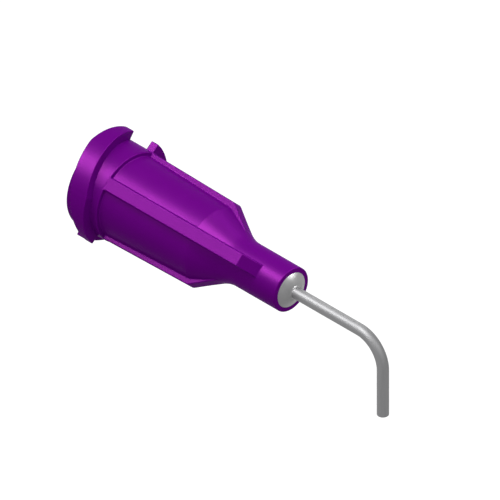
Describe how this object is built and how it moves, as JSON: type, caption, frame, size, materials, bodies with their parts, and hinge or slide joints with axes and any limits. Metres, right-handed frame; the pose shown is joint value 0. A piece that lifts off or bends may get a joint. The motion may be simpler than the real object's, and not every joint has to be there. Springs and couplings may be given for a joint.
{
  "type": "dispensing needle tip",
  "caption": "Finned plastic lock hub with a tapered socket and a thin steel tube, glued in at the nozzle and bent square, for dispensing fluid from a syringe barrel.",
  "frame": {"origin": "centre of the tapered socket's mouth, on the hub's open end face", "axes": "+X along the hub's axis, from the socket to the needle; the tube's outlet points to -Z, and the bend lies in the XZ plane"},
  "size_m": [0.0261, 0.0078, 0.0095],
  "materials": {
    "hub_plastic": "moulded polypropylene, purple all through, with a soft sheen",
    "tube_steel": "drawn stainless steel, passivated, with fine lines along the tube",
    "bead_adhesive": "cured grey epoxy with a smooth domed surface"
  },
  "bodies": {
    "root": {"hub": "hub_plastic", "needle_tube": "tube_steel", "adhesive_bead": "bead_adhesive"}
  },
  "joints": []
}
